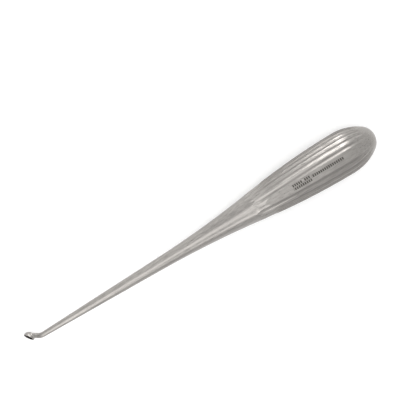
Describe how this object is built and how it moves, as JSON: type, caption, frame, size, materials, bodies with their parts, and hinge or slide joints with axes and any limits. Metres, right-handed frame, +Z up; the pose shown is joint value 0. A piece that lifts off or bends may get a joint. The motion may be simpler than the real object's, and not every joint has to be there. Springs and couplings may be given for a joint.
{
  "type": "cup curette",
  "caption": "Surgical bone curette: small oval cup on a bent neck, long tapered shaft and a reeded pear-shaped handle, forged from one bar of satin stainless steel",
  "frame": {"origin": "middle of the footprint, on the surface that the curette lies on", "axes": "+X from the cup towards the butt of the handle, +Z up, out of the handle's smooth front panel; the curette lies on its back panel and on the back of its cup"},
  "size_m": [0.1698, 0.019, 0.0188],
  "materials": {
    "satin_steel": "stainless steel, satin brushed along the length, with the cup and its rim ground brighter"
  },
  "bodies": {
    "root": {"curette": "satin_steel"}
  },
  "joints": []
}
